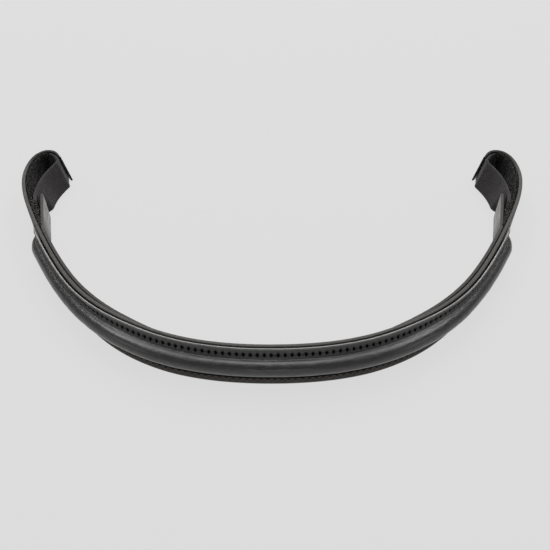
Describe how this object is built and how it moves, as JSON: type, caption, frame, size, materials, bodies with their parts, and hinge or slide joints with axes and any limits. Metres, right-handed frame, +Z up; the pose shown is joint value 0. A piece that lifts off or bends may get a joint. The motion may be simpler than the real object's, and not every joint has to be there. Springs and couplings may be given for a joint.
{
  "type": "bridle browband",
  "caption": "Padded leather browband bent into a U, with a raised front roll and a hook-and-loop quick-change loop at each end.",
  "frame": {"origin": "bottom centre of the bounding box, on the surface that the band stands on, in its plane of symmetry", "axes": "+X from the left loop to the right loop as seen from the front, +Y from the brow towards the loops, +Z up across the width of the leather"},
  "size_m": [0.2646, 0.1482, 0.0166],
  "materials": {
    "strap_leather": "black bridle leather with burnished edges, satin",
    "cover_leather": "thin black leather moulded over the roll, satin with a fine grain",
    "lining_leather": "black lining leather, matt on its cut edge",
    "filler": "felted cord",
    "thread": "waxed black thread",
    "webbing": "ribbed black polyester webbing",
    "hook_tape": "black hook tape",
    "pile_tape": "black brushed pile tape"
  },
  "bodies": {
    "band": {"main_strap": "strap_leather", "lining_leather": "lining_leather", "front_cover": "cover_leather", "roll_filler": "filler", "upper_stitches": "thread", "lower_stitches": "thread", "left_loop_tape": "pile_tape", "left_root_stitch": "thread", "left_fold_stitch": "thread", "left_flap_fixed_end": "webbing", "right_loop_tape": "pile_tape", "right_root_stitch": "thread", "right_fold_stitch": "thread", "right_flap_fixed_end": "webbing"},
    "left_flap": {"left_flap_webbing": "webbing", "left_flap_hook_patch": "hook_tape"},
    "left_tab": {"left_tab_leather": "lining_leather", "left_tab_pile_patch": "pile_tape"},
    "right_flap": {"right_flap_webbing": "webbing", "right_flap_hook_patch": "hook_tape"},
    "right_tab": {"right_tab_leather": "lining_leather", "right_tab_pile_patch": "pile_tape"}
  },
  "joints": [
    {"name": "left_flap_swing", "type": "hinge", "parent": "band", "child": "left_flap", "pos_m": [-0.11694, 0.06771, 0.008], "axis": [0, 0, 1], "range_deg": [0, 60]},
    {"name": "left_tab_peel", "type": "hinge", "parent": "band", "child": "left_tab", "pos_m": [-0.1097, 0.0089, 0.008], "axis": [0, 0, -1], "range_deg": [0, 138]},
    {"name": "right_flap_swing", "type": "hinge", "parent": "band", "child": "right_flap", "pos_m": [0.11694, 0.06771, 0.008], "axis": [0, 0, -1], "range_deg": [0, 60]},
    {"name": "right_tab_peel", "type": "hinge", "parent": "band", "child": "right_tab", "pos_m": [0.1097, 0.0089, 0.008], "axis": [0, 0, 1], "range_deg": [0, 138]}
  ],
  "couplings": [
    {"joint": "left_tab_peel", "follows": "left_flap_swing", "ratio": 2.3},
    {"joint": "right_tab_peel", "follows": "right_flap_swing", "ratio": 2.3}
  ]
}
